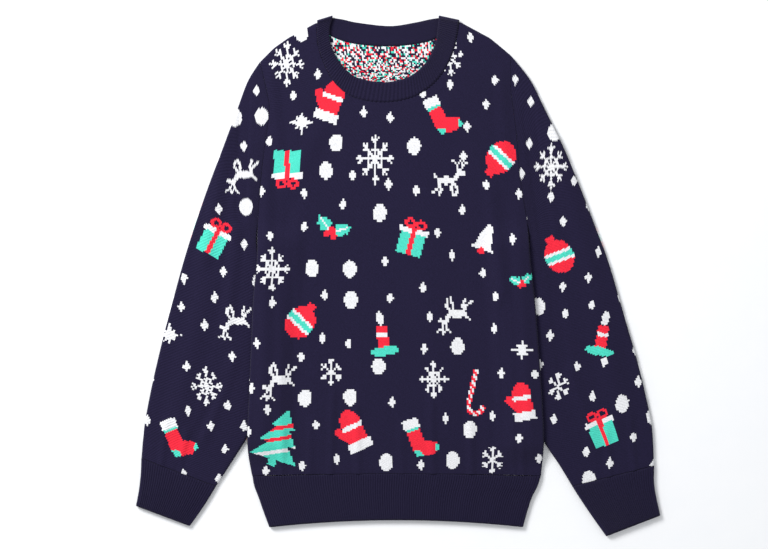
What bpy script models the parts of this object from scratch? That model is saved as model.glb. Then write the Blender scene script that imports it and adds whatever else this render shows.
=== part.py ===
"""Knitted pullover laid flat on its back: front and back panels, two sleeves, a ribbed
neckband, a ribbed hem and two ribbed cuffs. Each is a wall of cloth of its own.

Metres, +Z up. The sweater lies on z = 0 with its front up and its neck towards +Y; left and
right are the -X and +X sides. Every tube is flattened, with its two layers just clear of
each other and a round fold along each side. The sleeves hang down beside the body, and
their inner strips lie under its sides, which ride up over them.
"""

import math

import bmesh
import bpy

# Cloth.
WALL = 0.0025  # plain jacquard knit, one layer
RIB_WALL = 0.0030  # ribbed knit, one layer
AIR = 0.0010  # between the two layers of a flattened tube
SEAM_GAP = 0.0003  # between pieces where a seam joins them

# Levels of the body over the sleeves.
RIDE_UP = 0.0066  # how far the body's sides rise to pass over the sleeves
RIDE_FLAT = 0.040  # width of the strip that lies on the sleeve
RIDE_RAMP = 0.030  # width of the slope from that strip down to the ground

# How finely the pieces are divided.
FOLD_ANGLES = (90, 60, 30, 0)  # degrees round a fold, from its edge to the flat
BODY_SPANS = 11  # across the body between its side folds
LOW_SPANS = 12  # rows from hem seam to underarm
ARM_SPANS = 10  # rows from underarm to shoulder tip, and spans across a sleeve
CUFF_SPANS = 8
RIB_ROWS = 4  # rows along a hem or cuff

# The body's side folds, from the hem seam up to the shoulder tips.
SIDE_COLUMNS = ("left_x", "left_y", "right_x", "right_y")
SIDES = (
    (-0.198, -0.272, 0.1965, -0.272),
    (-0.2025, -0.246, 0.199, -0.246),
    (-0.204, -0.218, 0.200, -0.218),
    (-0.202, -0.169, 0.1975, -0.165),
    (-0.199, -0.100, 0.193, -0.100),
    (-0.196, -0.030, 0.188, -0.035),
    (-0.191, 0.020, 0.182, 0.020),
    (-0.190, 0.068, 0.178, 0.068),
    (-0.1855, 0.132, 0.168, 0.132),
    (-0.180, 0.181, 0.1635, 0.185),
    (-0.174, 0.225, 0.159, 0.225),
    (-0.177, 0.250, 0.155, 0.255),
    (-0.187, 0.293, 0.155, 0.302),
)
UNDERARM_ROW = 7  # the row of SIDES where the armholes start

# The line of the shoulder seams, closed straight across above the neck.
SHOULDER_COLUMNS = ("x", "y")
SHOULDERS = (
    (-0.187, 0.293),
    (-0.168, 0.312),
    (-0.148, 0.326),
    (-0.111, 0.346),
    (0.087, 0.347),
    (0.126, 0.326),
    (0.141, 0.314),
    (0.155, 0.302),
)
HEM_ARCH = 0.003  # the hem seam's middle stands this much higher than its ends

# The neckband, from its left fold to its right one, once over the front and once over the
# back. Its seam joins the panels, and its top edge is the neck opening.
NECK_COLUMNS = ("seam_x", "seam_y", "top_x", "top_y")
NECK_FRONT = (
    (-0.109, 0.3465, -0.0880, 0.3530),
    (-0.109, 0.328, -0.0920, 0.3380),
    (-0.106, 0.309, -0.0905, 0.3170),
    (-0.098, 0.287, -0.0830, 0.3000),
    (-0.084, 0.263, -0.0705, 0.2830),
    (-0.060, 0.245, -0.0530, 0.2710),
    (-0.022, 0.238, -0.0180, 0.2650),
    (0.016, 0.243, 0.0140, 0.2715),
    (0.044, 0.258, 0.0350, 0.2870),
    (0.063, 0.279, 0.0470, 0.3050),
    (0.076, 0.305, 0.0530, 0.3220),
    (0.082, 0.329, 0.0550, 0.3380),
    (0.085, 0.3470, 0.0570, 0.3530),
)
NECK_BACK = (
    (-0.109, 0.3465, -0.0880, 0.3530),
    (-0.096, 0.332, -0.0740, 0.3510),
    (-0.066, 0.3195, -0.0530, 0.3465),
    (-0.016, 0.3145, -0.0100, 0.3420),
    (0.034, 0.3190, 0.0230, 0.3465),
    (0.066, 0.3310, 0.0440, 0.3510),
    (0.085, 0.3470, 0.0570, 0.3530),
)
NECK_FRONT_ROWS = 24
NECK_BACK_ROWS = 16
NECK_SPANS = 3  # across the band from its seam to its top edge

# The sleeves' side folds, from the cuff seam up. The outer fold ends at the shoulder tip,
# and the inner one at the underarm. Each row is one ring of the sleeve.
SLEEVE_COLUMNS = ("outer_x", "outer_y", "inner_x", "inner_y")
SLEEVE_LEFT = (
    (-0.349, -0.248, -0.247, -0.286),
    (-0.345, -0.205, -0.226, -0.254),
    (-0.337, -0.160, -0.203, -0.217),
    (-0.327, -0.115, -0.180, -0.172),
    (-0.316, -0.070, -0.167, -0.125),
    (-0.304, -0.025, -0.165, -0.080),
    (-0.291, 0.022, -0.170, -0.040),
    (-0.276, 0.070, -0.180, -0.002),
    (-0.258, 0.122, -0.189, 0.028),
    (-0.238, 0.175, -0.1915, 0.046),
    (-0.219, 0.226, -0.1912, 0.058),
    (-0.204, 0.266, -0.1908, 0.064),
)
SLEEVE_RIGHT = (
    (0.351, -0.258, 0.239, -0.286),
    (0.348, -0.205, 0.222, -0.258),
    (0.339, -0.160, 0.201, -0.226),
    (0.328, -0.115, 0.178, -0.180),
    (0.315, -0.070, 0.162, -0.130),
    (0.302, -0.025, 0.156, -0.085),
    (0.288, 0.022, 0.159, -0.045),
    (0.270, 0.070, 0.169, -0.005),
    (0.250, 0.122, 0.179, 0.026),
    (0.228, 0.175, 0.1805, 0.046),
    (0.203, 0.226, 0.1796, 0.058),
    (0.182, 0.268, 0.1790, 0.064),
)
SLEEVE_ROWS = 16
MOUTH_REACH = 0.30  # share of the sleeve over which the armhole's curve dies away

# The cuffs, from the seam down to the open end, one ring in each row.
CUFF_LEFT = (
    (-0.3492, -0.2483, -0.2472, -0.2863),
    (-0.3500, -0.2700, -0.2590, -0.3060),
    (-0.3525, -0.2920, -0.2710, -0.3240),
    (-0.3565, -0.3130, -0.2830, -0.3405),
)
CUFF_RIGHT = (
    (0.3511, -0.2583, 0.2391, -0.2863),
    (0.3510, -0.2820, 0.2530, -0.3080),
    (0.3545, -0.3040, 0.2680, -0.3300),
    (0.3595, -0.3260, 0.2855, -0.3545),
)

# The hem, from the seam down to the open edge.
HEM = (
    (-0.1975, -0.2723, 0.1962, -0.2723),
    (-0.1950, -0.2860, 0.1920, -0.2860),
    (-0.1890, -0.3020, 0.1840, -0.3020),
    (-0.1820, -0.3220, 0.1775, -0.3220),
    (-0.1745, -0.3420, 0.1720, -0.3420),
)
HEM_END_ARCH = 0.0095  # the open edge's middle stands this much higher than its ends

# The largest soft rolls of the upper layers: each lies along a line and fades at its ends.
ROLL_COLUMNS = ("piece", "x1", "y1", "x2", "y2", "half_width", "height")
ROLLS = (
    ("front", -0.130, 0.190, -0.105, -0.180, 0.040, 0.0013),
    ("front", 0.030, 0.150, 0.055, -0.200, 0.045, 0.0012),
    ("sleeve_left", -0.236, 0.190, -0.262, 0.040, 0.020, 0.0016),
    ("sleeve_left", -0.262, -0.020, -0.300, -0.190, 0.026, 0.0016),
    ("sleeve_right", 0.222, 0.180, 0.262, 0.020, 0.022, 0.0016),
    ("sleeve_right", 0.272, -0.030, 0.305, -0.190, 0.026, 0.0016),
)

NAVY = (0.022, 0.018, 0.060, 1.0)
NAVY_RIB = (0.018, 0.014, 0.045, 1.0)
KNIT_ROUGHNESS = 0.9

BODY_HEIGHT = 2 * WALL + AIR
RIB_HEIGHT = 2 * RIB_WALL + AIR


# ---------------------------------------------------------------- curves and levels


def smoothstep(value):
    value = min(max(value, 0.0), 1.0)
    return value * value * (3 - 2 * value)


def along(rows, share):
    """The row at this share of the way down a table, on a smooth curve through its rows."""
    place = share * (len(rows) - 1)
    at = min(int(place), len(rows) - 2)
    t = place - at
    before, start = rows[max(at - 1, 0)], rows[at]
    end, after = rows[at + 1], rows[min(at + 2, len(rows) - 1)]
    return tuple(
        0.5 * (2 * b + (c - a) * t + (2 * a - 5 * b + 4 * c - d) * t**2
               + (3 * b - a - 3 * c + d) * t**3)
        for a, b, c, d in zip(before, start, end, after)
    )


def straight(rows, x):
    """The second column of a table at this value of its first, in straight lines."""
    for (x1, y1), (x2, y2) in zip(rows, rows[1:]):
        if x <= x2:
            return y1 + (y2 - y1) * (x - x1) / (x2 - x1)
    return rows[-1][1]


def side_rows():
    """The left and right fold points of each row of the body: low rows, then armhole rows."""
    last = len(SIDES) - 1
    low = [UNDERARM_ROW * k / LOW_SPANS for k in range(LOW_SPANS)]
    arm = [UNDERARM_ROW + (last - UNDERARM_ROW) * k / ARM_SPANS for k in range(ARM_SPANS + 1)]
    return [along(SIDES, place / last) for place in low + arm]


SIDE_POINTS = side_rows()


def side_x(y, right):
    """The x of the body's side fold at this y, on the straight runs between its rows."""
    rows = [(p[3], p[2]) if right else (p[1], p[0]) for p in SIDE_POINTS]
    return straight(rows, y)


def ride(x, y):
    """How far the body is lifted off the ground here by the sleeve beneath its side."""
    lengthwise = smoothstep((0.080 - y) / 0.042) * smoothstep((y + 0.262) / 0.036)
    inboard = min(x - side_x(y, False), side_x(y, True) - x)
    return RIDE_UP * lengthwise * (1 - smoothstep((inboard - RIDE_FLAT) / RIDE_RAMP))


def roll(piece, x, y):
    """The height of the soft rolls of this piece's upper layer here."""
    height = 0.0
    for owner, x1, y1, x2, y2, half_width, top in ROLLS:
        if owner != piece:
            continue
        run_x, run_y = x2 - x1, y2 - y1
        length = math.hypot(run_x, run_y)
        down = ((x - x1) * run_x + (y - y1) * run_y) / length**2
        aside = abs((x - x1) * run_y - (y - y1) * run_x) / length
        fade = smoothstep((0.5 + 0.25 - abs(down - 0.5)) / 0.25)
        height += top * fade * (1 - smoothstep(aside / half_width))
    return height


# ---------------------------------------------------------------- meshes


def material(name, colour):
    made = bpy.data.materials.new(name)
    made.use_nodes = True
    shader = made.node_tree.nodes["Principled BSDF"]
    shader.inputs["Base Color"].default_value = colour
    shader.inputs["Roughness"].default_value = KNIT_ROUGHNESS
    return made


def wall_object(name, outer, inner, ring, colour):
    """A wall between two grids of points, closed at its rims. A ring's columns go all round."""
    rows, columns = len(outer), len(outer[0])
    mesh = bmesh.new()
    skins = [
        [[mesh.verts.new(point) for point in row] for row in grid]
        for grid in (outer, inner)
    ]
    spans = columns if ring else columns - 1

    def strip(a, b, c, d):
        mesh.faces.new((a, b, c, d))

    for r in range(rows - 1):
        for c in range(spans):
            n = (c + 1) % columns
            top, under = skins
            strip(top[r][c], top[r][n], top[r + 1][n], top[r + 1][c])
            strip(under[r][c], under[r + 1][c], under[r + 1][n], under[r][n])
    for r in (0, rows - 1):
        for c in range(spans):
            n = (c + 1) % columns
            strip(skins[0][r][c], skins[0][r][n], skins[1][r][n], skins[1][r][c])
    if not ring:
        for c in (0, columns - 1):
            for r in range(rows - 1):
                strip(skins[0][r][c], skins[0][r + 1][c], skins[1][r + 1][c], skins[1][r][c])
    bmesh.ops.recalc_face_normals(mesh, faces=mesh.faces)
    data = bpy.data.meshes.new(name)
    mesh.to_mesh(data)
    mesh.free()
    data.materials.append(material(name, colour))
    made = bpy.data.objects.new(name, data)
    bpy.context.scene.collection.objects.link(made)
    data.shade_smooth()
    data.set_sharp_from_angle(angle=math.radians(50))
    return made


def places_across(width, radius, spans):
    """(share of the width, lean in radians, -1 or 1 for the nearer fold) of each point across."""
    near = [(radius * (1 - math.sin(math.radians(a))), math.radians(a)) for a in FOLD_ANGLES]
    first = [(d / width, lean, -1) for d, lean in near]
    middle = [(j / spans, 0.0, -1) for j in range(1, spans)]
    last = [(1 - d / width, lean, 1) for d, lean in reversed(near)]
    return first + middle + last


def skin_pair(place, out, lean, side, middle, radius, wall):
    """The outer and inner points of a wall: side is 1 on the upper layer and -1 on the lower."""
    x, y = place
    rise = math.cos(lean)
    z = middle + side * radius * rise
    back = wall * math.sin(lean)
    outer = (x, y, z)
    inner = (x - out[0] * back, y - out[1] * back, z - side * wall * rise)
    return outer, inner


def laid_tube(name, rings, wall, height, colour, spans, bow=None):
    """A flattened tube on the ground. Each ring runs from its outer fold point to its inner
    one over the upper layer and back under the lower one."""
    outer, inner = [], []
    radius = height / 2
    for index, (x1, y1, x2, y2) in enumerate(rings):
        width = math.hypot(x2 - x1, y2 - y1)
        run = ((x2 - x1) / width, (y2 - y1) / width)
        loop = []
        across = places_across(width, radius, spans)
        over = [(s, lean, way, 1) for s, lean, way in across]
        under = [(s, lean, way, -1) for s, lean, way in reversed(across[1:-1])]
        for share, lean, way, side in over + under:
            x = x1 + (x2 - x1) * share
            y = y1 + (y2 - y1) * share
            if bow:
                x += bow(index / (len(rings) - 1), share)
            lifted = roll(name, x, y) * math.cos(lean) if side > 0 else 0.0
            out = (run[0] * way, run[1] * way)
            loop.append(skin_pair((x, y), out, lean, side, radius + lifted, radius, wall))
        outer.append([pair[0] for pair in loop])
        inner.append([pair[1] for pair in loop])
    return wall_object(name, outer, inner, True, colour)


# ---------------------------------------------------------------- front and back panels


def panel(name, side):
    """One body panel, folded half way round at the sides below the underarms and at the
    shoulders. side is 1 for the front, which lies on top, and -1 for the back."""
    radius = (BODY_HEIGHT - SEAM_GAP) / 2
    levels = [(row, 0.0) for row in range(len(SIDE_POINTS) - 1)]
    levels += [(len(SIDE_POINTS) - 1, math.radians(a)) for a in reversed(FOLD_ANGLES)]
    outer, inner = [], []
    for row, top_lean in levels:
        x1, y1, x2, y2 = SIDE_POINTS[row]
        climb = max(row - LOW_SPANS, 0) / ARM_SPANS
        arch = HEM_ARCH * max(1 - row / LOW_SPANS, 0)
        curl = smoothstep((LOW_SPANS + 0.5 - row) / 1.5)
        pairs = []
        for share, lean, way in places_across(x2 - x1, radius, BODY_SPANS):
            x = x1 + (x2 - x1) * share
            y = y1 + (y2 - y1) * share
            top_x = SHOULDERS[0][0] + (SHOULDERS[-1][0] - SHOULDERS[0][0]) * share
            tips = SHOULDERS[0][1] + (SHOULDERS[-1][1] - SHOULDERS[0][1]) * share
            y += climb * (straight(SHOULDERS, top_x) - tips) + arch * 4 * share * (1 - share)
            slope = (straight(SHOULDERS, top_x + 0.001) - straight(SHOULDERS, top_x)) / 0.001
            steep = math.hypot(1, slope)
            if row == len(SIDE_POINTS) - 1:
                drop = radius * (1 - math.sin(top_lean)) * steep
                left, right = side_x(y1 - drop, False), side_x(y2 - drop, True)
                x = left + (right - left) * share
                y -= drop
            lean *= curl
            rise = math.cos(lean) * math.cos(top_lean)
            middle = ride(x, y) + BODY_HEIGHT / 2 + side * SEAM_GAP / 2
            if side > 0:
                middle += roll(name, x, y) * rise
            aside = way * math.sin(lean) - slope / steep * math.sin(top_lean)
            ahead = math.sin(top_lean) / steep
            size = math.sqrt(aside**2 + ahead**2 + rise**2)
            z = middle + side * radius * rise
            pairs.append((
                (x, y, z),
                (
                    x - WALL * aside / size,
                    y - WALL * ahead / size,
                    z - side * WALL * rise / size,
                ),
            ))
        outer.append([pair[0] for pair in pairs])
        inner.append([pair[1] for pair in pairs])
    return wall_object(name, outer, inner, False, NAVY)


def cut_neck(body_panel, table, count):
    """Cuts the neckline out of a panel, a seam's gap outside the neckband."""
    rows = [along(table, k / count) for k in range(count + 1)]
    line = []
    for index, (x, y, _, _) in enumerate(rows):
        before, after = rows[max(index - 1, 0)], rows[min(index + 1, len(rows) - 1)]
        run_x, run_y = after[0] - before[0], after[1] - before[1]
        length = math.hypot(run_x, run_y)
        line.append((x + run_y / length * SEAM_GAP, y - run_x / length * SEAM_GAP))
    above = SHOULDERS[3][1] + 0.02
    line = [(line[0][0], above), *line, (line[-1][0], above)]
    mesh = bmesh.new()
    low = [mesh.verts.new((x, y, -0.01)) for x, y in line]
    high = [mesh.verts.new((x, y, 0.03)) for x, y in line]
    mesh.faces.new(reversed(low))
    mesh.faces.new(high)
    for i in range(len(line)):
        n = (i + 1) % len(line)
        mesh.faces.new((low[i], low[n], high[n], high[i]))
    bmesh.ops.recalc_face_normals(mesh, faces=mesh.faces)
    data = bpy.data.meshes.new("neck_cutter_" + body_panel.name)
    mesh.to_mesh(data)
    mesh.free()
    cutter = bpy.data.objects.new(data.name, data)
    bpy.context.scene.collection.objects.link(cutter)
    cutter.hide_render = True
    cutter.display_type = "WIRE"
    cut = body_panel.modifiers.new("neckline", "BOOLEAN")
    cut.operation = "DIFFERENCE"
    cut.solver = "EXACT"
    cut.object = cutter
    return cutter


# ---------------------------------------------------------------- neckband


def neckband():
    """One ring of rib: over the front, round its right fold, back over the back panel and
    round its left fold. Each ring of points goes from the seam to the top edge."""
    middle = RIB_HEIGHT / 2
    radius = (RIB_WALL + AIR) / 2
    stations = []
    for k in range(NECK_FRONT_ROWS + 1):
        stations.append((along(NECK_FRONT, k / NECK_FRONT_ROWS), 90.0))
    for angle in (45.0, 0.0, -45.0):
        stations.append((NECK_FRONT[-1], angle))
    for k in range(NECK_BACK_ROWS, -1, -1):
        stations.append((along(NECK_BACK, k / NECK_BACK_ROWS), -90.0))
    for angle in (-45.0, 0.0, 45.0):
        stations.append((NECK_FRONT[0], angle))
    outer, inner = [], []
    for (seam_x, seam_y, top_x, top_y), degrees in stations:
        angle = math.radians(degrees)
        rise, out = math.sin(angle), math.cos(angle)
        far, near = radius + RIB_WALL / 2, radius - RIB_WALL / 2
        faces = []
        for reach in (far, near):
            line = []
            for j in range(NECK_SPANS + 1):
                share = j / NECK_SPANS
                x = seam_x + (top_x - seam_x) * share
                y = seam_y + (top_y - seam_y) * share
                line.append((x, y + reach * out, middle + reach * rise))
            faces.append(line)
        outer.append(faces[0])
        inner.append(faces[1])
    # The stations go round the ring, so rows and columns change places.
    outer = [list(row) for row in zip(*outer)]
    inner = [list(row) for row in zip(*inner)]
    return wall_object("neckband", outer, inner, True, NAVY_RIB)


# ---------------------------------------------------------------- sleeves, cuffs and hem


def sleeve(name, table, right):
    """A flattened tube from the armhole to the cuff seam. Its open mouth follows the body's
    edge, and each later ring follows that curve less."""
    way = 1 if right else -1
    tip, underarm = SIDE_POINTS[-1], SIDE_POINTS[LOW_SPANS]
    cols = (2, 3) if right else (0, 1)
    mouth = (
        tip[cols[0]] + way * SEAM_GAP,
        tip[cols[1]],
        underarm[cols[0]] + way * SEAM_GAP,
        underarm[cols[1]],
    )
    rings_up = (*table, mouth)
    rings = [along(rings_up, k / SLEEVE_ROWS) for k in range(SLEEVE_ROWS, -1, -1)]

    def bow(down, share):
        y = mouth[1] + (mouth[3] - mouth[1]) * share
        chord = mouth[0] + (mouth[2] - mouth[0]) * share
        return (side_x(y, right) + way * SEAM_GAP - chord) * (1 - smoothstep(down / MOUTH_REACH))

    return laid_tube(name, rings, WALL, BODY_HEIGHT, NAVY, ARM_SPANS, bow)


def cuff(name, table):
    rings = [along(table, k / RIB_ROWS) for k in range(RIB_ROWS + 1)]
    return laid_tube(name, rings, RIB_WALL, RIB_HEIGHT, NAVY_RIB, CUFF_SPANS)


def hem():
    """The hem's tube: each ring is arched a little, and more towards its open edge."""
    rings = [along(HEM, k / RIB_ROWS) for k in range(RIB_ROWS + 1)]
    made = laid_tube("hem", rings, RIB_WALL, RIB_HEIGHT, NAVY_RIB, BODY_SPANS)
    for vertex in made.data.vertices:
        down = (HEM[0][1] - vertex.co.y) / (HEM[0][1] - HEM[-1][1])
        across = min(abs(vertex.co.x) / HEM[-1][2], 1.0)
        arch = HEM_ARCH + (HEM_END_ARCH - HEM_ARCH) * down
        vertex.co.y += arch * (1 - across**2)
    return made


def settle(sewn, cutting):
    """Puts the sweater's origin at the middle of its own box, on the ground."""
    points = [v.co for made in sewn for v in made.data.vertices]
    middle_x = (min(p.x for p in points) + max(p.x for p in points)) / 2
    middle_y = (min(p.y for p in points) + max(p.y for p in points)) / 2
    for made in sewn + cutting:
        for vertex in made.data.vertices:
            vertex.co.x -= middle_x
            vertex.co.y -= middle_y


for old in list(bpy.data.objects):
    bpy.data.objects.remove(old)

front = panel("front", 1)
back = panel("back", -1)
cutters = [
    cut_neck(front, NECK_FRONT, NECK_FRONT_ROWS),
    cut_neck(back, NECK_BACK, NECK_BACK_ROWS),
]
pieces = [
    front,
    back,
    neckband(),
    sleeve("sleeve_left", SLEEVE_LEFT, False),
    sleeve("sleeve_right", SLEEVE_RIGHT, True),
    cuff("cuff_left", CUFF_LEFT),
    cuff("cuff_right", CUFF_RIGHT),
    hem(),
]
settle(pieces, cutters)
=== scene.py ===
"""A festive jacquard pullover laid flat on its back, seen from straight above.

Metres, +Z up. Left and right are the -X and +X sides. The pieces come in the order in which
a maker knits and links them: back, front, sleeves, cuffs, hem and neckband.
"""

import math

import bpy
import numpy as np
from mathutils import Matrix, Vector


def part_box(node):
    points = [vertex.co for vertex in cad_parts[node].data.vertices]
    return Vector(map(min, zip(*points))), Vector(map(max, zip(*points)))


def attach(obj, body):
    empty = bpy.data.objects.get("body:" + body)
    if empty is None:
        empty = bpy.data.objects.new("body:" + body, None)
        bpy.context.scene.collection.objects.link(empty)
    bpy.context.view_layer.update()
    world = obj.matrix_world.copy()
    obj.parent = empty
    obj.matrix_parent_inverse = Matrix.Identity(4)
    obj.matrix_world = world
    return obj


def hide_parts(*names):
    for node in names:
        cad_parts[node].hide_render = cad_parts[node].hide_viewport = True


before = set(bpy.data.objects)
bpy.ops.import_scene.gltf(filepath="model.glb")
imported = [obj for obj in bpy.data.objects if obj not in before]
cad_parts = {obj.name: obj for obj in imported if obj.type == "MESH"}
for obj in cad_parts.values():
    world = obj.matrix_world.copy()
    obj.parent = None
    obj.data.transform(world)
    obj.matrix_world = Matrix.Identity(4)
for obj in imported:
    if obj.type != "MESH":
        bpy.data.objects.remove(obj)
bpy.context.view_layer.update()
scene = bpy.context.scene
random = np.random.default_rng(24)

# ---- Viewpoint -------------------------------------------------------------------------
# Straight above the garment, with its neck at the top of the picture.

CAMERA_HEIGHT = 2.6
VIEW_WIDTH = 1.050  # of the ground, across the picture
SENSOR = 36.0

camera = bpy.data.objects.new("camera", bpy.data.cameras.new("camera"))
camera.data.sensor_width = SENSOR
camera.data.lens = SENSOR * CAMERA_HEIGHT / VIEW_WIDTH
camera.location = (-0.0193, 0.0017, CAMERA_HEIGHT)
scene.collection.objects.link(camera)
scene.camera = camera

# ---- Back panel ------------------------------------------------------------------------
# One flat-knitted panel of two-layer jacquard, navy with coloured motifs, which lies face
# down on the ground. Its sides ride up over the sleeves that are tucked under them, and
# its folds at the sides and shoulders come half way round to meet the front.

WALL = 0.0025  # jacquard, one layer
RIB_WALL = 0.0030  # rib, one layer
AIR = 0.0010  # between the two layers of a flattened tube
SEAM_GAP = 0.0003
BODY_HEIGHT = 2 * WALL + AIR
RIB_HEIGHT = 2 * RIB_WALL + AIR
RIDE_UP = 0.0066  # how far the body's sides rise to pass over the sleeves
RIDE_FLAT = 0.040  # width of the strip that lies on the sleeve
RIDE_RAMP = 0.030  # width of the slope from that strip down to the ground
RIDE_TOP = 0.080  # the y at which the sleeve leaves the body, and how fast the rise fades
RIDE_TOP_FADE = 0.042
RIDE_END = 0.262  # how far below the middle the rise ends at the hem
RIDE_END_FADE = 0.036
FOLD_LEANS = np.radians((90, 60, 30, 0))  # round a fold, from its edge to the flat

# Columns: left_x, left_y, right_x, right_y.
SIDES = (
    (-0.198, -0.272, 0.1965, -0.272),
    (-0.2025, -0.246, 0.199, -0.246),
    (-0.204, -0.218, 0.200, -0.218),
    (-0.202, -0.169, 0.1975, -0.165),
    (-0.199, -0.100, 0.193, -0.100),
    (-0.196, -0.030, 0.188, -0.035),
    (-0.191, 0.020, 0.182, 0.020),
    (-0.190, 0.068, 0.178, 0.068),
    (-0.1855, 0.132, 0.168, 0.132),
    (-0.180, 0.181, 0.1635, 0.185),
    (-0.174, 0.225, 0.159, 0.225),
    (-0.177, 0.250, 0.155, 0.255),
    (-0.187, 0.293, 0.155, 0.302),
)
UNDERARM_ROW = 7  # the row of SIDES where the armholes start
# Columns: x, y.
SHOULDERS = (
    (-0.187, 0.293),
    (-0.168, 0.312),
    (-0.148, 0.326),
    (-0.111, 0.346),
    (0.087, 0.347),
    (0.126, 0.326),
    (0.141, 0.314),
    (0.155, 0.302),
)
HEM_ARCH = 0.003
# Columns: seam_x, seam_y, top_x, top_y.
NECK_BACK = (
    (-0.109, 0.3465, -0.0880, 0.3530),
    (-0.096, 0.332, -0.0740, 0.3510),
    (-0.066, 0.3195, -0.0530, 0.3465),
    (-0.016, 0.3145, -0.0100, 0.3420),
    (0.034, 0.3190, 0.0230, 0.3465),
    (0.066, 0.3310, 0.0440, 0.3510),
    (0.085, 0.3470, 0.0570, 0.3530),
)
LOW_SPANS = 162  # knitted rows from the hem seam to the underarm
ARM_SPANS = 106  # and from there to the shoulder tip
BODY_SPANS = 154  # stitches across, between the side folds
FOLD_ROWS = 4  # rows that the fold at the shoulder takes the place of
CURL_LEAD = 0.5 / 12  # the side folds end this share of the low rows above the underarm
CURL_FADE = 1.5 / 12  # having opened out over this share

# The tables have an origin of their own, a millimetre or two from the frame's, which is at
# the middle of the whole garment's box. This is the step between the two.
CUFF_END_X = 0.3595  # the outer end of the right cuff, in the tables
NECK_PEAK_Y = 0.3565  # the top of the neckband's folds, in the tables
middle = np.array((
    CUFF_END_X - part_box("cuff_right")[1][0],
    NECK_PEAK_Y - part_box("neckband")[1][1],
    0.0,
))


def smoothstep(value):
    value = np.clip(value, 0.0, 1.0)
    return value * value * (3 - 2 * value)


def along(rows, shares):
    """Rows at these shares of the way down a table, on a smooth curve through its rows."""
    rows = np.array(rows)
    place = np.asarray(shares, float) * (len(rows) - 1)
    at = np.clip(place.astype(int), 0, len(rows) - 2)
    t = (place - at)[..., None]
    a, b = rows[np.maximum(at - 1, 0)], rows[at]
    c, d = rows[at + 1], rows[np.minimum(at + 2, len(rows) - 1)]
    bend = (2 * a - 5 * b + 4 * c - d) * t**2 + (3 * b - a - 3 * c + d) * t**3
    return 0.5 * (2 * b + (c - a) * t + bend)


low_places = UNDERARM_ROW * np.arange(LOW_SPANS) / LOW_SPANS
arm_places = UNDERARM_ROW + (len(SIDES) - 1 - UNDERARM_ROW) * np.linspace(0, 1, ARM_SPANS + 1)
side_points = along(SIDES, np.concatenate((low_places, arm_places)) / (len(SIDES) - 1))


def side_x(y, right):
    """The x of the body's left or right side fold at this y."""
    columns = (3, 2) if right else (1, 0)
    return np.interp(y, side_points[:, columns[0]], side_points[:, columns[1]])


def ride(x, y):
    """How far the sleeve under the body's side lifts the body here."""
    lengthwise = smoothstep((RIDE_TOP - y) / RIDE_TOP_FADE) * smoothstep((y + RIDE_END) / RIDE_END_FADE)
    inboard = np.minimum(x - side_x(y, False), side_x(y, True) - x)
    return RIDE_UP * lengthwise * (1 - smoothstep((inboard - RIDE_FLAT) / RIDE_RAMP))


# Soft ridges and troughs of the cloth. Each lies along a line and dies away at its ends.
# Columns: piece, x1, y1, x2, y2, half_width, height.
CREASES = (
    # The body's front: long soft rolls, the troughs beside the sleeves, gathers at the hem.
    ("front", -0.130, 0.190, -0.105, -0.180, 0.040, 0.0013),
    ("front", 0.030, 0.150, 0.055, -0.200, 0.045, 0.0012),
    ("front", -0.178, 0.110, -0.183, -0.200, 0.016, 0.0022),
    ("front", -0.147, 0.060, -0.146, -0.190, 0.014, -0.0014),
    ("front", 0.166, 0.060, 0.181, -0.200, 0.016, 0.0020),
    ("front", 0.128, 0.110, 0.142, -0.020, 0.016, 0.0018),
    ("front", 0.146, -0.060, 0.150, -0.260, 0.009, -0.0022),
    ("front", -0.171, 0.275, -0.163, 0.180, 0.014, 0.0016),
    ("front", 0.142, 0.270, 0.148, 0.160, 0.014, 0.0014),
    ("front", -0.095, 0.215, -0.150, 0.120, 0.020, 0.0010),
    ("front", 0.070, 0.230, 0.120, 0.150, 0.020, 0.0010),
    ("front", -0.088, -0.170, -0.091, -0.285, 0.008, 0.0016),
    ("front", -0.055, -0.190, -0.053, -0.285, 0.009, 0.0015),
    ("front", -0.118, -0.205, -0.120, -0.285, 0.008, 0.0012),
    ("front", 0.006, -0.210, 0.006, -0.285, 0.010, 0.0010),
    ("front", 0.047, -0.180, 0.049, -0.285, 0.009, 0.0016),
    ("front", 0.100, -0.180, 0.102, -0.285, 0.009, 0.0017),
    ("front", -0.155, -0.215, -0.158, -0.285, 0.008, 0.0014),
    ("front", 0.170, -0.220, 0.172, -0.285, 0.008, 0.0014),
    # The sleeves: a roll down the outer half, a trough beside the body, short folds.
    ("sleeve_left", -0.232, 0.190, -0.262, 0.030, 0.018, 0.0026),
    ("sleeve_left", -0.208, 0.240, -0.213, 0.090, 0.012, -0.0020),
    ("sleeve_left", -0.219, 0.060, -0.232, -0.060, 0.014, 0.0018),
    ("sleeve_left", -0.262, -0.020, -0.300, -0.190, 0.026, 0.0020),
    ("sleeve_left", -0.225, -0.120, -0.262, -0.215, 0.014, 0.0014),
    ("sleeve_left", -0.240, -0.150, -0.290, -0.250, 0.010, -0.0014),
    ("sleeve_left", -0.315, -0.200, -0.322, -0.262, 0.008, 0.0014),
    ("sleeve_left", -0.288, -0.215, -0.296, -0.270, 0.008, 0.0013),
    ("sleeve_right", 0.218, 0.180, 0.262, 0.020, 0.022, 0.0026),
    ("sleeve_right", 0.181, 0.210, 0.205, 0.040, 0.014, -0.0020),
    ("sleeve_right", 0.212, 0.020, 0.226, -0.120, 0.013, -0.0014),
    ("sleeve_right", 0.272, -0.030, 0.305, -0.190, 0.026, 0.0020),
    ("sleeve_right", 0.238, -0.130, 0.268, -0.230, 0.014, 0.0016),
    ("sleeve_right", 0.318, -0.200, 0.324, -0.268, 0.008, 0.0014),
    ("sleeve_right", 0.286, -0.215, 0.290, -0.275, 0.008, 0.0013),
)


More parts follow.
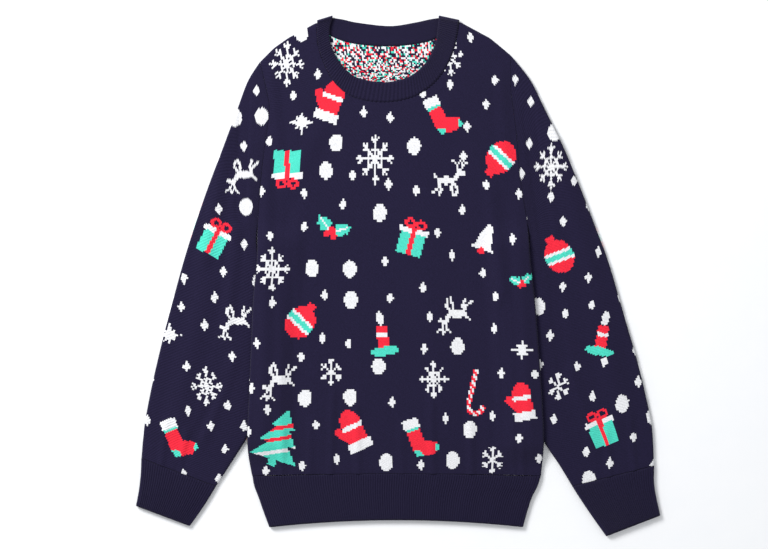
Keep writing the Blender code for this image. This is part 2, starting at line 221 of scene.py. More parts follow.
DEEPEST = 0.0008  # a trough stays clear of the layer beneath


def crease(piece, x, y):
    """The height of a piece's soft ridges and troughs here."""
    height = np.zeros_like(x)
    for owner, x1, y1, x2, y2, half_width, top in CREASES:
        if owner != piece:
            continue
        run_x, run_y = x2 - x1, y2 - y1
        length = math.hypot(run_x, run_y)
        down = ((x - x1) * run_x + (y - y1) * run_y) / length**2
        aside = np.abs((x - x1) * run_y - (y - y1) * run_x) / length
        fade = smoothstep((0.75 - np.abs(down - 0.5)) / 0.25)
        height += top * fade * (1 - smoothstep(aside / half_width))
    return np.maximum(height, -DEEPEST)


def places_across(width, radius, spans):
    """Shares of the width, leans, and -1 or 1 for the nearer fold, of each point across."""
    near = radius * (1 - np.sin(FOLD_LEANS)) / width
    between = np.linspace(near[-1], 1 - near[-1], spans + 1)[1:-1]
    shares = np.concatenate((near, between, 1 - near[::-1]))
    flat = np.zeros(spans - 1)
    leans = np.concatenate((FOLD_LEANS, flat, FOLD_LEANS[::-1]))
    ways = np.where(shares < 0.5, -1.0, 1.0)
    return shares, leans, ways


# The yarns, by number: what each stitch of a piece is knitted in.
NAVY, WHITE, GREEN, RED = range(4)

# The drawing of the motifs works on points of the cloth, in centimetres from the middle of
# the motif, with +v towards the neck.


def disc(u, v, at_u, at_v, wide, high):
    return ((u - at_u) / wide) ** 2 + ((v - at_v) / high) ** 2 < 1


def block(u, v, u1, v1, u2, v2):
    return (u > u1) & (u < u2) & (v > v1) & (v < v2)


def stroke(u, v, points, half):
    """A line of this half width through these points."""
    on = np.zeros(u.shape, bool)
    for (u1, v1), (u2, v2) in zip(points, points[1:]):
        du, dv = u2 - u1, v2 - v1
        t = np.clip(((u - u1) * du + (v - v1) * dv) / (du * du + dv * dv), 0, 1)
        on |= np.hypot(u - u1 - t * du, v - v1 - t * dv) < half
    return on


def patch(u, v, points):
    """The inside of a closed outline, by counting the edges crossed on the way out."""
    inside = np.zeros(u.shape, bool)
    for (u1, v1), (u2, v2) in zip(points, (*points[1:], points[0])):
        if v1 != v2:
            crossed = (v1 > v) != (v2 > v)
            inside ^= crossed & (u < (u2 - u1) * (v - v1) / (v2 - v1) + u1)
    return inside


def dot(u, v):
    return [(disc(u, v, 0, 0, 0.92, 1.18), WHITE)]


def diamond(u, v):
    return [(np.abs(u) / 0.52 + np.abs(v) / 0.80 < 1, WHITE)]


def snowflake(u, v):
    """Eight barbed arms round a small wheel."""
    on = np.zeros(u.shape, bool)
    for k in range(8):
        a = math.radians(45 * k)
        cos, sin = math.cos(a), math.sin(a)
        long = 1.0 if k % 2 == 0 else 0.86

        def at(r, aside):
            return (2.55 * (r * cos - aside * sin), 3.3 * (r * sin + aside * cos))

        on |= stroke(u, v, (at(0.0, 0.0), at(long, 0.0)), 0.15)
        on |= stroke(u, v, (at(0.88 * long, 0.17), at(0.68 * long, 0.0), at(0.88 * long, -0.17)), 0.13)
        on |= stroke(u, v, (at(0.38, 0.16), at(0.38, -0.16)), 0.13)
    return [(on, WHITE)]


def small_snowflake(u, v):
    """Six short barbed arms."""
    on = np.zeros(u.shape, bool)
    for k in range(6):
        a = math.radians(60 * k + 30)
        cos, sin = math.cos(a), math.sin(a)

        def at(r, aside):
            return (1.35 * (r * cos - aside * sin), 1.75 * (r * sin + aside * cos))

        on |= stroke(u, v, (at(0.0, 0.0), at(1.0, 0.0)), 0.12)
        on |= stroke(u, v, (at(0.92, 0.24), at(0.62, 0.0), at(0.92, -0.24)), 0.11)
    return [(on, WHITE)]


def gift(u, v):
    """A green box with a white lid and a red ribbon tied in a bow."""
    bow = (disc(u, v, -0.85, 2.45, 0.85, 0.75) & ~disc(u, v, -0.85, 2.45, 0.42, 0.34)) | (
        disc(u, v, 0.85, 2.45, 0.85, 0.75) & ~disc(u, v, 0.85, 2.45, 0.42, 0.34)
    )
    return [
        (block(u, v, -1.9, -2.3, 1.9, 1.1), GREEN),
        (block(u, v, -2.25, 0.95, 2.25, 1.75), WHITE),
        (block(u, v, -0.36, -2.3, 0.36, 1.95), RED),
        (bow, RED),
    ]


def stocking(u, v):
    """A red stocking with a white top, a green band, heel and toe."""
    leg = (
        (-1.5, 1.6), (0.5, 1.6), (0.6, -0.6), (2.3, -1.5),
        (2.5, -2.5), (1.2, -3.1), (-1.2, -2.6), (-1.5, -1.4),
    )
    return [
        (patch(u, v, leg), RED),
        (patch(u, v, leg) & disc(u, v, -1.3, -2.6, 1.0, 1.0), GREEN),
        (patch(u, v, leg) & disc(u, v, 2.6, -2.5, 0.8, 0.9), GREEN),
        (block(u, v, -1.7, 1.6, 0.7, 3.1), WHITE),
        (block(u, v, -1.5, 1.3, 0.5, 1.7), GREEN),
    ]


def bauble(u, v):
    """A red ball with a striped belt and a little cap."""
    ball = disc(u, v, 0, -0.3, 1.95, 2.3)
    return [
        (ball, RED),
        (ball & (np.abs(v + 0.3 + 0.15 * u) < 0.75), WHITE),
        (ball & (np.abs(v + 0.3 + 0.15 * u) < 0.36), GREEN),
        (block(u, v, -0.6, 1.85, 0.6, 2.7), RED),
    ]


def deer(u, v):
    """A leaping deer, drawn in a few strokes."""
    on = disc(u, v, -0.3, 0.1, 1.45, 0.62)
    for line, half in (
        (((1.0, 0.3), (1.7, 1.5)), 0.36),
        (((1.6, 1.5), (2.5, 1.2)), 0.30),
        (((1.6, 1.7), (1.3, 2.7), (0.7, 3.3)), 0.13),
        (((1.4, 2.4), (1.9, 3.2)), 0.13),
        (((1.9, 1.7), (2.3, 2.6), (3.0, 3.0)), 0.13),
        (((2.2, 2.3), (2.0, 3.3)), 0.13),
        (((0.8, -0.2), (1.5, -1.2), (1.3, -2.2)), 0.20),
        (((0.5, -0.3), (0.5, -1.4), (0.9, -2.4)), 0.19),
        (((-1.3, -0.1), (-1.6, -1.1), (-2.5, -1.9)), 0.21),
        (((-1.5, 0.0), (-1.1, -1.3), (-1.5, -2.3)), 0.19),
        (((-1.6, 0.4), (-2.3, 1.0)), 0.18),
    ):
        on |= stroke(u, v, line, half)
    return [(on, WHITE)]


def candy_cane(u, v):
    """A hooked stick wound with red and white."""
    hook = [(1.1 * math.cos(a) - 0.1, 1.9 + 1.1 * math.sin(a)) for a in np.radians(np.arange(0, 200, 20))]
    stick = stroke(u, v, ((1.0, -3.2), (1.0, 1.9), *hook[1:]), 0.36)
    return [(stick, RED), (stick & (np.mod(v + 0.8 * u, 0.95) < 0.42), WHITE)]


def bell(u, v):
    """A white bell with a red clapper."""
    side = (
        (-0.5, 1.7), (0.5, 1.7), (0.9, 0.4), (1.1, -0.8),
        (1.7, -1.4), (-1.7, -1.4), (-1.1, -0.8), (-0.9, 0.4),
    )
    return [
        (patch(u, v, side), WHITE),
        (disc(u, v, 0, -1.6, 0.5, 0.5), RED),
        (disc(u, v, 0, 1.8, 0.35, 0.4), WHITE),
    ]


def tree(u, v):
    """Three green tiers with slanting garlands, on a short stem."""
    tiers = (
        patch(u, v, ((0, 4.4), (1.9, 1.6), (-1.9, 1.6)))
        | patch(u, v, ((0, 2.9), (2.8, -0.9), (-2.8, -0.9)))
        | patch(u, v, ((0, 0.8), (3.6, -3.4), (-3.6, -3.4)))
    )
    return [
        (block(u, v, -0.6, -4.4, 0.6, -3.2), GREEN),
        (tiers, GREEN),
        (tiers & (np.abs(v - 1.7 - 0.5 * u) < 0.32), RED),
        (tiers & (np.abs(v + 0.1 - 0.5 * u) < 0.30), RED),
        (tiers & (np.abs(v + 2.2 - 0.5 * u) < 0.32), WHITE),
    ]


def mitten(u, v):
    """A red mitten with a white cuff and a white band."""
    hand = disc(u, v, 0.1, 0.9, 1.45, 2.0) | block(u, v, -1.25, -1.7, 1.45, 0.9)
    thumb = stroke(u, v, ((-1.2, -0.6), (-1.9, 0.5)), 0.55)
    return [
        (hand | thumb, RED),
        (hand & (np.abs(v - 0.5) < 0.32), WHITE),
        (block(u, v, -1.6, -2.9, 1.75, -1.6), WHITE),
    ]


def star(u, v):
    """An eight-pointed star of four lozenges."""
    on = np.zeros(u.shape, bool)
    for k in range(4):
        a = math.radians(45 * k)
        p, q = u * math.cos(a) + v * math.sin(a), v * math.cos(a) - u * math.sin(a)
        long = 2.1 if k % 2 == 0 else 1.6
        on |= np.abs(p) / long + np.abs(q) / 0.55 < 1
    return [(on, WHITE)]


def holly(u, v):
    """Two pointed green leaves with white ribs, and three red berries."""
    faces = []
    for way in (-1, 1):
        a = math.radians(35)
        p = way * u * math.cos(a) + v * math.sin(a)
        q = v * math.cos(a) - way * u * math.sin(a)
        scallop = 1 + 0.22 * np.cos(5.2 * p)
        half = 0.95 * np.sin(math.pi * np.clip(p / 3.2, 0, 1)) * scallop
        leaf = (p > 0.1) & (p < 3.2) & (np.abs(q) < half)
        faces += [(leaf, GREEN), (leaf & (np.abs(q) < 0.13) & (p < 2.7), WHITE)]
    for at_u, at_v in ((-0.5, -0.35), (0.5, -0.35), (0.0, 0.45)):
        faces.append((disc(u, v, at_u, at_v, 0.5, 0.55), RED))
    return faces


def candle(u, v):
    """A red candle with a white flame on a green dish."""
    return [
        (block(u, v, -0.75, -1.9, 0.75, 1.3), RED),
        (block(u, v, -0.75, -0.2, 0.75, 0.3), WHITE),
        (disc(u, v, 0, 2.3, 0.5, 0.95), WHITE),
        (disc(u, v, 0, -2.2, 2.0, 0.6), GREEN),
    ]


# The larger motifs, in whole centimetres from the tables' origin.
# Columns: motif, piece, x_cm, y_cm, turn, scale.
MOTIFS = (
    (snowflake, "front", -3, 16, 0, 1.0),
    (snowflake, "front", -17, 1, 0, 0.9),
    (snowflake, "front", 7, 30, 10, 0.8),
    (snowflake, "front", -15, 29, 0, 0.9),
    (snowflake, "front", 5, -14, 0, 0.75),
    (small_snowflake, "front", -9, -13, 0, 1.0),
    (small_snowflake, "front", 13, -25, 0, 1.0),
    (gift, "front", -15, 15, 180, 0.95),
    (gift, "front", 2, 5, -15, 0.9),
    (stocking, "front", 6, 22, 25, 0.9),
    (stocking, "front", 3, -22, 20, 0.9),
    (bauble, "front", 14, 16, 145, 1.0),
    (bauble, "front", -13, -6, -35, 1.0),
    (deer, "front", 7, 13, 0, 0.85),
    (deer, "front", 8, -5, 180, 0.85),
    (deer, "front", -16, -14, 180, 0.85),
    (candy_cane, "front", 11, -16, 168, 0.9),
    (bell, "front", 12, 5, -20, 1.0),
    (tree, "front", -16, -22, -18, 0.9),
    (mitten, "front", -9, 24, -20, 1.0),
    (star, "front", -13, 21, 0, 0.8),
    (mitten, "front", -6, -21, 25, 1.0),
    (holly, "front", -9, 6, -20, 0.9),
    (candle, "front", -2, -8, 8, 1.0),
    (holly, "front", 17, -1, 10, 0.6),
    (mitten, "front", 17, -17, 10, 0.9),
    (star, "front", 17, -10, 0, 0.7),
    (deer, "sleeve_left", -21, 14, 180, 0.8),
    (gift, "sleeve_left", -25, 5, -28, 0.9),
    (deer, "sleeve_left", -22, -6, 180, 0.8),
    (snowflake, "sleeve_left", -26, -15, 0, 0.8),
    (star, "sleeve_left", -31, -8, 0, 0.8),
    (stocking, "sleeve_left", -30, -22, 20, 0.9),
    (snowflake, "sleeve_right", 21, 15, 0, 0.9),
    (bauble, "sleeve_right", 22, 3, 30, 1.0),
    (candle, "sleeve_right", 28, -8, -10, 1.0),
    (small_snowflake, "sleeve_right", 22, -15, 0, 1.0),
    (gift, "sleeve_right", 28, -21, 20, 0.9),
)
MOTIF_CLEAR = 3.6  # cm that a diamond keeps from the middle of a larger motif
DOT_EXTRA = 0.7  # and how much more a dot keeps
SMALL_CLEAR = 3.5  # between two small motifs
DOT_SHARE = 0.30
MOTIF_REACH = 6.5  # no motif is larger than this from its middle, in cm
TRIES = 2600


def knit_motifs(layout, x, y):
    """The yarn of each stitch at these places, in metres, from the motifs of a layout."""
    yarn = np.zeros(x.shape)
    places = [(at_x, at_y) for _, at_x, at_y, _, _ in layout]
    layout = list(layout)
    low, high = np.array((x.min(), y.min())) * 100, np.array((x.max(), y.max())) * 100
    small = []
    for _ in range(TRIES):
        at = random.uniform(low, high)
        is_dot = random.random() < DOT_SHARE
        clear = MOTIF_CLEAR + DOT_EXTRA * is_dot
        far = all(math.dist(at, p) > clear for p in places)
        if far and all(math.dist(at, p) > SMALL_CLEAR for p in small):
            small.append(tuple(at))
            layout.append((dot if is_dot else diamond, *at, 0, 1.0))
    for motif, at_x, at_y, turn, scale in layout:
        near = np.hypot(x * 100 - at_x, y * 100 - at_y) < MOTIF_REACH
        if not near.any():
            continue
        a = math.radians(turn)
        east, north = x[near] * 100 - at_x, y[near] * 100 - at_y
        u = (east * math.cos(a) + north * math.sin(a)) / scale
        v = (north * math.cos(a) - east * math.sin(a)) / scale
        knitted = yarn[near]
        for mask, colour in motif(u, v):
            knitted[mask] = colour
        yarn[near] = knitted
    return yarn


def layout_for(piece, mirrored=False):
    """A piece's own motifs, or the run of the same ones that its hidden layer shows."""
    rows = [(m, x, y, turn, s) for m, owner, x, y, turn, s in MOTIFS if owner == piece]
    if mirrored:
        middle_x = round(sum(row[1] for row in rows) / len(rows))
        rows = [(m, 2 * middle_x - x, y + 2, turn, s) for m, x, y, turn, s in rows]
    return rows


def wrong_side(shape):
    """The speckled reverse of two-layer jacquard, where the yarns alternate."""
    return random.choice([NAVY, WHITE, GREEN, RED], shape, p=(0.42, 0.34, 0.10, 0.14))


def knit_material(name, stitch_depth, ribbed):
    """Yarn colours by stitch, a slight heather, and the V of each stitch as a bump."""
    made = bpy.data.materials.new(name)
    made.use_nodes = True
    nodes, links = made.node_tree.nodes, made.node_tree.links
    shader = nodes["Principled BSDF"]
    shader.inputs["Roughness"].default_value = 0.88
    shader.inputs["Sheen Weight"].default_value = 0.08
    shader.inputs["Sheen Roughness"].default_value = 0.5
    shader.inputs["Specular IOR Level"].default_value = 0.08

    yarn = nodes.new("ShaderNodeAttribute")
    yarn.attribute_name = "yarn"
    dye = nodes.new("ShaderNodeValToRGB")
    dye.color_ramp.interpolation = "CONSTANT"
    stops = (
        (0.0, (0.014, 0.011, 0.036)),
        (0.17, (0.80, 0.80, 0.82)),
        (0.50, (0.075, 0.66, 0.51)),
        (0.83, (0.87, 0.025, 0.050)),
    )
    while len(dye.color_ramp.elements) < len(stops):
        dye.color_ramp.elements.new(1.0)
    for element, (place, colour) in zip(dye.color_ramp.elements, stops):
        element.position = place
        element.color = (*colour, 1.0)
    share = nodes.new("ShaderNodeMapRange")
    share.inputs["From Max"].default_value = 3.0
    links.new(yarn.outputs["Fac"], share.inputs["Value"])
    links.new(share.outputs["Result"], dye.inputs["Fac"])

    place = nodes.new("ShaderNodeTexCoord")
    heather = nodes.new("ShaderNodeTexNoise")
    heather.inputs["Scale"].default_value = 620.0
    heather.inputs["Detail"].default_value = 3.0
    links.new(place.outputs["Object"], heather.inputs["Vector"])
    spread = nodes.new("ShaderNodeMapRange")
    spread.inputs["To Min"].default_value = 0.62
    spread.inputs["To Max"].default_value = 1.38
    links.new(heather.outputs["Fac"], spread.inputs["Value"])
    tint = nodes.new("ShaderNodeMix")
    tint.data_type = "RGBA"
    tint.blend_type = "MULTIPLY"
    tint.inputs["Factor"].default_value = 1.0
    links.new(dye.outputs["Color"], tint.inputs["A"])
    links.new(spread.outputs["Result"], tint.inputs["B"])
    links.new(tint.outputs["Result"], shader.inputs["Base Color"])

    loops = nodes.new("ShaderNodeTexWave")
    loops.wave_type = "BANDS"
    loops.bands_direction = "X" if ribbed else "DIAGONAL"
    loops.inputs["Scale"].default_value = 0.32
    loops.inputs["Distortion"].default_value = 1.2
    links.new(place.outputs["UV"], loops.inputs["Vector"])
    bump = nodes.new("ShaderNodeBump")
    bump.inputs["Strength"].default_value = 0.55
    bump.inputs["Distance"].default_value = stitch_depth
    links.new(loops.outputs["Fac"], bump.inputs["Height"])
    links.new(bump.outputs["Normal"], shader.inputs["Normal"])
    return made


jacquard = knit_material("jacquard_knit", 0.0006, False)
rib = knit_material("rib_knit", 0.0006, True)


def knitted_piece(name, outer, inner, ring, finish, yarns=None):
    """A wall between two grids of points, closed at its rims, with a yarn for each stitch."""
    rows, columns, _ = outer.shape
    spans = columns if ring else columns - 1
    ids = np.arange(rows * columns).reshape(rows, columns)
    nxt = np.roll(ids, -1, axis=1) if ring else ids[:, 1:]
    now = ids if ring else ids[:, :-1]
    shift = rows * columns
    right_way = np.stack((now[:-1], nxt[:-1], nxt[1:], now[1:]), -1).reshape(-1, 4)
    wrong_way = right_way[:, ::-1] + shift
    rims = []
    for r, flip in ((0, True), (rows - 1, False)):
        rim = np.stack((now[r], nxt[r], nxt[r] + shift, now[r] + shift), -1)
        rims.append(rim[:, ::-1] if flip else rim)
    if not ring:
        for c, flip in ((0, False), (columns - 1, True)):
            side = np.stack((ids[:-1, c], ids[1:, c], ids[1:, c] + shift, ids[:-1, c] + shift), -1)
            rims.append(side[:, ::-1] if flip else side)
    faces = np.concatenate((right_way, wrong_way, *rims))
    data = bpy.data.meshes.new(name)
    points = np.concatenate((outer.reshape(-1, 3), inner.reshape(-1, 3))) - middle
    data.from_pydata(points.tolist(), [], faces.tolist())
    count = len(right_way)
    yarn = np.zeros(len(faces), np.float32)
    if yarns is not None:
        yarn[:count] = yarns.reshape(-1)
        yarn[count : 2 * count] = wrong_side(count)
    data.attributes.new("yarn", "FLOAT", "FACE").data.foreach_set("value", yarn)
    c, r = np.meshgrid(np.arange(spans), np.arange(rows - 1))
    turns = ((c, r), (c + 1, r), (c + 1, r + 1), (c, r + 1))
    corners = np.stack([np.stack(turn, -1) for turn in turns], 2).reshape(-1, 4, 2)
    uv = np.zeros((len(faces), 4, 2))
    uv[:count] = corners
    uv[count : 2 * count] = corners[:, ::-1]
    data.uv_layers.new(name="stitches").data.foreach_set("uv", uv.reshape(-1))
    data.materials.append(finish)
    data.shade_smooth()
    made = bpy.data.objects.new(name + "_cloth", data)
    scene.collection.objects.link(made)
    if signed_volume(points, faces) < 0:
        data.flip_normals()
    return made


def signed_volume(points, faces):
    a, b, c, d = (points[faces[:, k]] for k in range(4))
    return (np.einsum("ij,ij->", a, np.cross(b, c)) + np.einsum("ij,ij->", a, np.cross(c, d))) / 6


def panel(name, side):
    """One body panel's outer and inner points. side is 1 for the front, -1 for the back."""
    radius = (BODY_HEIGHT - SEAM_GAP) / 2
    rows = len(side_points)
    levels = [(row, 0.0) for row in range(rows - FOLD_ROWS)]
    levels += [(rows - 1, lean) for lean in FOLD_LEANS[::-1]]
    shoulders = np.array(SHOULDERS)
    outer, inner = [], []
    for row, top_lean in levels:
        x1, y1, x2, y2 = side_points[row]
        low = row / LOW_SPANS
        climb = max(row - LOW_SPANS, 0) / ARM_SPANS
        curl = smoothstep((1 + CURL_LEAD - low) / CURL_FADE)
        share, lean, way = places_across(x2 - x1, radius, BODY_SPANS)
        x = x1 + (x2 - x1) * share
        top_x = shoulders[0, 0] + (shoulders[-1, 0] - shoulders[0, 0]) * share
        tips = shoulders[0, 1] + (shoulders[-1, 1] - shoulders[0, 1]) * share
        line = np.interp(top_x, shoulders[:, 0], shoulders[:, 1])
        y = y1 + (y2 - y1) * share + climb * (line - tips)
        y = y + HEM_ARCH * max(1 - low, 0) * 4 * share * (1 - share)
        slope = (np.interp(top_x + 0.001, shoulders[:, 0], shoulders[:, 1]) - line) / 0.001
        steep = np.hypot(1, slope)
        if row == rows - 1:
            drop = radius * (1 - math.sin(top_lean)) * steep
            left, right = side_x(y1 - drop, False), side_x(y2 - drop, True)
            x = left + (right - left) * share
            y = y - drop
        lean = lean * curl
        rise = np.cos(lean) * math.cos(top_lean)
        level = ride(x, y) + BODY_HEIGHT / 2 + side * SEAM_GAP / 2
        if side > 0:
            level = level + crease(name, x, y) * rise
        aside = way * np.sin(lean) - slope / steep * math.sin(top_lean)
        ahead = math.sin(top_lean) / steep
        size = np.sqrt(aside**2 + ahead**2 + rise**2)
        z = level + side * radius * rise
        outer.append(np.stack((x, y, z), -1))
        inner.append(np.stack((
            x - WALL * aside / size, y - WALL * ahead / size, z - side * WALL * rise / size
        ), -1))
    return np.array(outer), np.array(inner)


def stitch_centres(outer):
    centre = (outer[:-1, :-1] + outer[1:, 1:]) / 2
    return centre[..., 0], centre[..., 1]


def cut_neck(made, table, count):
    """Cuts the neckline out of a panel, a seam's gap outside the neckband."""
    line = along(table, np.linspace(0, 1, count + 1))[:, :2]
    run = np.gradient(line, axis=0)
    run /= np.linalg.norm(run, axis=1)[:, None]
    line = line + np.stack((run[:, 1], -run[:, 0]), -1) * SEAM_GAP
    above = SHOULDERS[3][1] + 0.02
    line = [(line[0][0], above), *line.tolist(), (line[-1][0], above)]
    count = len(line)
    points = [(px - middle[0], py - middle[1], z) for z in (-0.01, 0.03) for px, py in line]
    faces = [tuple(range(count - 1, -1, -1)), tuple(range(count, 2 * count))]
    faces += [(i, (i + 1) % count, (i + 1) % count + count, i + count) for i in range(count)]
    data = bpy.data.meshes.new("neck_cutter")
    data.from_pydata(points, [], faces)
    cutter = bpy.data.objects.new("neck_cutter", data)
    scene.collection.objects.link(cutter)
    cut = made.modifiers.new("neckline", "BOOLEAN")
    cut.operation = "DIFFERENCE"
    cut.solver = "EXACT"
    cut.object = cutter
    graph = bpy.context.evaluated_depsgraph_get()
    mesh = bpy.data.meshes.new_from_object(made.evaluated_get(graph))
    made.modifiers.clear()
    made.data = mesh
    bpy.data.objects.remove(cutter)


FLOOR = "floor"


def lay_cloth(piece, node):
    """A piece takes its solid's place."""
    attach(piece, "root")
    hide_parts(node)


outer, inner = panel("back", -1)
x, y = stitch_centres(outer)
back = knitted_piece("back", outer, inner, False, jacquard, knit_motifs(layout_for("front", True), x, y))
cut_neck(back, NECK_BACK, 16)
lay_cloth(back, "back")

# ---- Front panel -----------------------------------------------------------------------
# The same jacquard, face up on the back panel. It is cut lower at the neck, and the folds
# that it has taken up in wear and packing are soft ridges and shallow troughs.

NECK_FRONT = (
    (-0.109, 0.3465, -0.0880, 0.3530),
    (-0.109, 0.328, -0.0920, 0.3380),
    (-0.106, 0.309, -0.0905, 0.3170),
    (-0.098, 0.287, -0.0830, 0.3000),
    (-0.084, 0.263, -0.0705, 0.2830),
    (-0.060, 0.245, -0.0530, 0.2710),
    (-0.022, 0.238, -0.0180, 0.2650),
    (0.016, 0.243, 0.0140, 0.2715),
    (0.044, 0.258, 0.0350, 0.2870),
    (0.063, 0.279, 0.0470, 0.3050),
    (0.076, 0.305, 0.0530, 0.3220),
    (0.082, 0.329, 0.0550, 0.3380),
    (0.085, 0.3470, 0.0570, 0.3530),
)
outer, inner = panel("front", 1)
x, y = stitch_centres(outer)
front = knitted_piece("front", outer, inner, False, jacquard, knit_motifs(layout_for("front"), x, y))
cut_neck(front, NECK_FRONT, 24)
lay_cloth(front, "front")

# ---- Sleeves ---------------------------------------------------------------------------
# Flattened tubes of the same jacquard. Each mouth follows the body's edge at the armhole,
# and the inner strip of each sleeve lies under the body's side.

# Columns: outer_x, outer_y, inner_x, inner_y.
SLEEVE_LEFT = (
    (-0.349, -0.248, -0.247, -0.286),
    (-0.345, -0.205, -0.226, -0.254),
    (-0.337, -0.160, -0.203, -0.217),
    (-0.327, -0.115, -0.180, -0.172),
    (-0.316, -0.070, -0.167, -0.125),
    (-0.304, -0.025, -0.165, -0.080),
    (-0.291, 0.022, -0.170, -0.040),
    (-0.276, 0.070, -0.180, -0.002),
    (-0.258, 0.122, -0.189, 0.028),
    (-0.238, 0.175, -0.1915, 0.046),
    (-0.219, 0.226, -0.1912, 0.058),
    (-0.204, 0.266, -0.1908, 0.064),
)
SLEEVE_RIGHT = (
    (0.351, -0.258, 0.239, -0.286),
    (0.348, -0.205, 0.222, -0.258),
    (0.339, -0.160, 0.201, -0.226),
    (0.328, -0.115, 0.178, -0.180),
    (0.315, -0.070, 0.162, -0.130),
    (0.302, -0.025, 0.156, -0.085),
    (0.288, 0.022, 0.159, -0.045),
    (0.270, 0.070, 0.169, -0.005),
    (0.250, 0.122, 0.179, 0.026),
    (0.228, 0.175, 0.1805, 0.046),
    (0.203, 0.226, 0.1796, 0.058),
    (0.182, 0.268, 0.1790, 0.064),
)
SLEEVE_ROWS = 250
SLEEVE_STITCHES = 56  # across the upper layer
MOUTH_REACH = 0.30  # share of the sleeve over which the armhole's curve dies away


def laid_tube(name, rings, wall, height, spans, bow=None, relief=0.0, ribs=0):
    """A flattened tube's outer and inner points, over its upper layer and back beneath."""
    radius = height / 2
    outer, inner = [], []
    for index, (x1, y1, x2, y2) in enumerate(rings):
        width = math.hypot(x2 - x1, y2 - y1)
        share, lean, way = places_across(width, radius, spans)
        share = np.concatenate((share, share[-2:0:-1]))
        side = np.where(np.arange(len(share)) < len(lean), 1.0, -1.0)
        lean = np.concatenate((lean, lean[-2:0:-1]))
        way = np.concatenate((way, way[-2:0:-1]))
        x = x1 + (x2 - x1) * share
        y = y1 + (y2 - y1) * share
        if bow:
            x = x + bow(index / (len(rings) - 1), share)
        level = radius + np.where(side > 0, crease(name, x, y) * np.cos(lean), 0.0)
        rise = np.cos(lean)
        furrow = relief * (np.cos(2 * math.pi * ribs * share) - 1) / 2 * rise
        out_x, out_y = (x2 - x1) / width * way, (y2 - y1) / width * way
        z = level + side * radius * rise
        back_off = wall * np.sin(lean)
        outer.append(np.stack((x, y, z + side * furrow), -1))
        inner.append(np.stack((x - out_x * back_off, y - out_y * back_off, z - side * wall * rise), -1))
    return np.array(outer), np.array(inner)


def sleeve(name, table, right):
    way = 1 if right else -1
    tip, underarm = side_points[-1], side_points[LOW_SPANS]
    first, second = (2, 3) if right else (0, 1)
    mouth = (
        tip[first] + way * SEAM_GAP, tip[second],
        underarm[first] + way * SEAM_GAP, underarm[second],
    )
    rings = along((*table, mouth), np.linspace(1, 0, SLEEVE_ROWS + 1))

    def bow(down, share):
        y = mouth[1] + (mouth[3] - mouth[1]) * share
        chord = mouth[0] + (mouth[2] - mouth[0]) * share
        return (side_x(y, right) + way * SEAM_GAP - chord) * (1 - smoothstep(down / MOUTH_REACH))

    outer, inner = laid_tube(name, rings, WALL, BODY_HEIGHT, SLEEVE_STITCHES, bow)
    centre = (outer[:-1] + np.roll(outer, -1, axis=1)[1:]) / 2
    upper = centre[..., 2] > BODY_HEIGHT / 2
    over = knit_motifs(layout_for(name), centre[..., 0], centre[..., 1])
    under = knit_motifs(layout_for(name, True), centre[..., 0], centre[..., 1])
    return knitted_piece(name, outer, inner, True, jacquard, np.where(upper, over, under))


sleeve_left = sleeve("sleeve_left", SLEEVE_LEFT, False)
sleeve_right = sleeve("sleeve_right", SLEEVE_RIGHT, True)
lay_cloth(sleeve_left, "sleeve_left")
lay_cloth(sleeve_right, "sleeve_right")

# ---- Cuffs and hem ---------------------------------------------------------------------
# Navy rib, linked to the ends of the sleeves and the body. The ribs are real relief: each
# knit column stands up between two that sink back.

CUFF_LEFT = (
    (-0.3492, -0.2483, -0.2472, -0.2863),
    (-0.3500, -0.2700, -0.2590, -0.3060),
    (-0.3525, -0.2920, -0.2710, -0.3240),
    (-0.3565, -0.3130, -0.2830, -0.3405),
)
CUFF_RIGHT = (
    (0.3511, -0.2583, 0.2391, -0.2863),
    (0.3510, -0.2820, 0.2530, -0.3080),
    (0.3545, -0.3040, 0.2680, -0.3300),
    (0.3595, -0.3260, 0.2855, -0.3545),
)
HEM = (
    (-0.1975, -0.2723, 0.1962, -0.2723),
    (-0.1950, -0.2860, 0.1920, -0.2860),
    (-0.1890, -0.3020, 0.1840, -0.3020),
    (-0.1820, -0.3220, 0.1775, -0.3220),
    (-0.1745, -0.3420, 0.1720, -0.3420),
)
HEM_END_ARCH = 0.0095
RIB_RELIEF = 0.0011
STEPS_A_RIB = 4
RIB_ROWS = 16


def ribbed(name, table, ribs):
    rings = along(table, np.linspace(0, 1, RIB_ROWS + 1))
    return laid_tube(name, rings, RIB_WALL, RIB_HEIGHT, ribs * STEPS_A_RIB, None, RIB_RELIEF, ribs)


cuff_left = knitted_piece("cuff_left", *ribbed("cuff_left", CUFF_LEFT, 32), True, rib)
cuff_right = knitted_piece("cuff_right", *ribbed("cuff_right", CUFF_RIGHT, 34), True, rib)
outer, inner = ribbed("hem", HEM, 120)
for grid in (outer, inner):
    down = (HEM[0][1] - grid[..., 1]) / (HEM[0][1] - HEM[-1][1])
    across = np.minimum(np.abs(grid[..., 0]) / HEM[-1][2], 1.0)
    grid[..., 1] += (HEM_ARCH + (HEM_END_ARCH - HEM_ARCH) * down) * (1 - across**2)
hem = knitted_piece("hem", outer, inner, True, rib)
lay_cloth(cuff_left, "cuff_left")
lay_cloth(cuff_right, "cuff_right")
lay_cloth(hem, "hem")

# ---- Neckband --------------------------------------------------------------------------
# One ring of the same rib, linked round the neckline: over the front, and back across the
# back panel, whose wrong side shows above it.

NECK_STATIONS = 330  # round the front half, four to a rib
BACK_STATIONS = 260
NECK_SPANS = 8


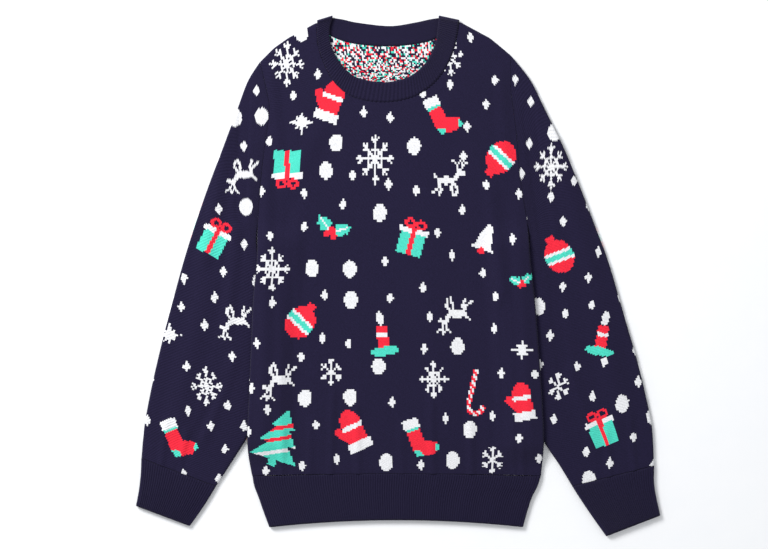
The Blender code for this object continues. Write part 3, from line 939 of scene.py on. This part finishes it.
def neckband():
    front_half = along(NECK_FRONT, np.linspace(0, 1, NECK_STATIONS + 1))
    back_half = along(NECK_BACK, np.linspace(1, 0, BACK_STATIONS + 1))
    folds = (45.0, 0.0, -45.0)
    lines = np.concatenate((
        front_half, np.repeat(front_half[-1:], 3, 0), back_half, np.repeat(front_half[:1], 3, 0)
    ))
    angles = np.radians(np.concatenate((
        np.full(len(front_half), 90.0), folds, np.full(len(back_half), -90.0), folds[::-1]
    )))
    share = np.linspace(0, 1, NECK_SPANS + 1)[:, None]
    x = lines[:, 0] + (lines[:, 2] - lines[:, 0]) * share
    y = lines[:, 1] + (lines[:, 3] - lines[:, 1]) * share
    radius = (RIB_WALL + AIR) / 2
    furrow = RIB_RELIEF * (np.cos(2 * math.pi * np.arange(len(lines)) / STEPS_A_RIB) - 1) / 2
    grids = []
    for reach in (radius + RIB_WALL / 2 + furrow, radius - RIB_WALL / 2 + 0 * furrow):
        z = RIB_HEIGHT / 2 + reach * np.sin(angles) + 0 * x
        grids.append(np.stack((x, y + reach * np.cos(angles), z), -1))
    return knitted_piece("neckband", grids[0], grids[1], True, rib)


neck = neckband()
lay_cloth(neck, "neckband")

# ---- Floor and light -------------------------------------------------------------------
# White paper under soft studio light from the upper left. The paper is not part of the object.

FLOOR_REACH = 3
floor_data = bpy.data.meshes.new(FLOOR)
corners = [(x * FLOOR_REACH, y * FLOOR_REACH, 0) for x, y in ((-1, -1), (1, -1), (1, 1), (-1, 1))]
floor_data.from_pydata(corners, [], [(0, 1, 2, 3)])
floor = bpy.data.objects.new(FLOOR, floor_data)
scene.collection.objects.link(floor)

paper = bpy.data.materials.new("paper")
paper.use_nodes = True
paper_shader = paper.node_tree.nodes["Principled BSDF"]
paper_shader.inputs["Roughness"].default_value = 0.95
grain = paper.node_tree.nodes.new("ShaderNodeTexNoise")
grain.inputs["Scale"].default_value = 30.0
tone = paper.node_tree.nodes.new("ShaderNodeValToRGB")
tone.color_ramp.elements[0].color = (0.95, 0.96, 0.98, 1)
tone.color_ramp.elements[1].color = (0.98, 0.98, 0.99, 1)
place = paper.node_tree.nodes.new("ShaderNodeTexCoord")
paper.node_tree.links.new(place.outputs["Object"], grain.inputs["Vector"])
paper.node_tree.links.new(grain.outputs["Fac"], tone.inputs["Fac"])
paper.node_tree.links.new(tone.outputs["Color"], paper_shader.inputs["Base Color"])
floor_data.materials.append(paper)

world = bpy.data.worlds.new("studio")
world.use_nodes = True
world.node_tree.nodes["Background"].inputs["Color"].default_value = (0.96, 0.98, 1.0, 1)
world.node_tree.nodes["Background"].inputs["Strength"].default_value = 0.62
scene.world = world
key = bpy.data.objects.new("key", bpy.data.lights.new("key", "AREA"))
key.data.size = 1.0
key.data.energy = 75.0
key.location = (-1.6, 1.5, 1.7)
key.rotation_euler = key.location.to_track_quat("Z", "Y").to_euler()
scene.collection.objects.link(key)
scene.view_settings.view_transform = "Standard"
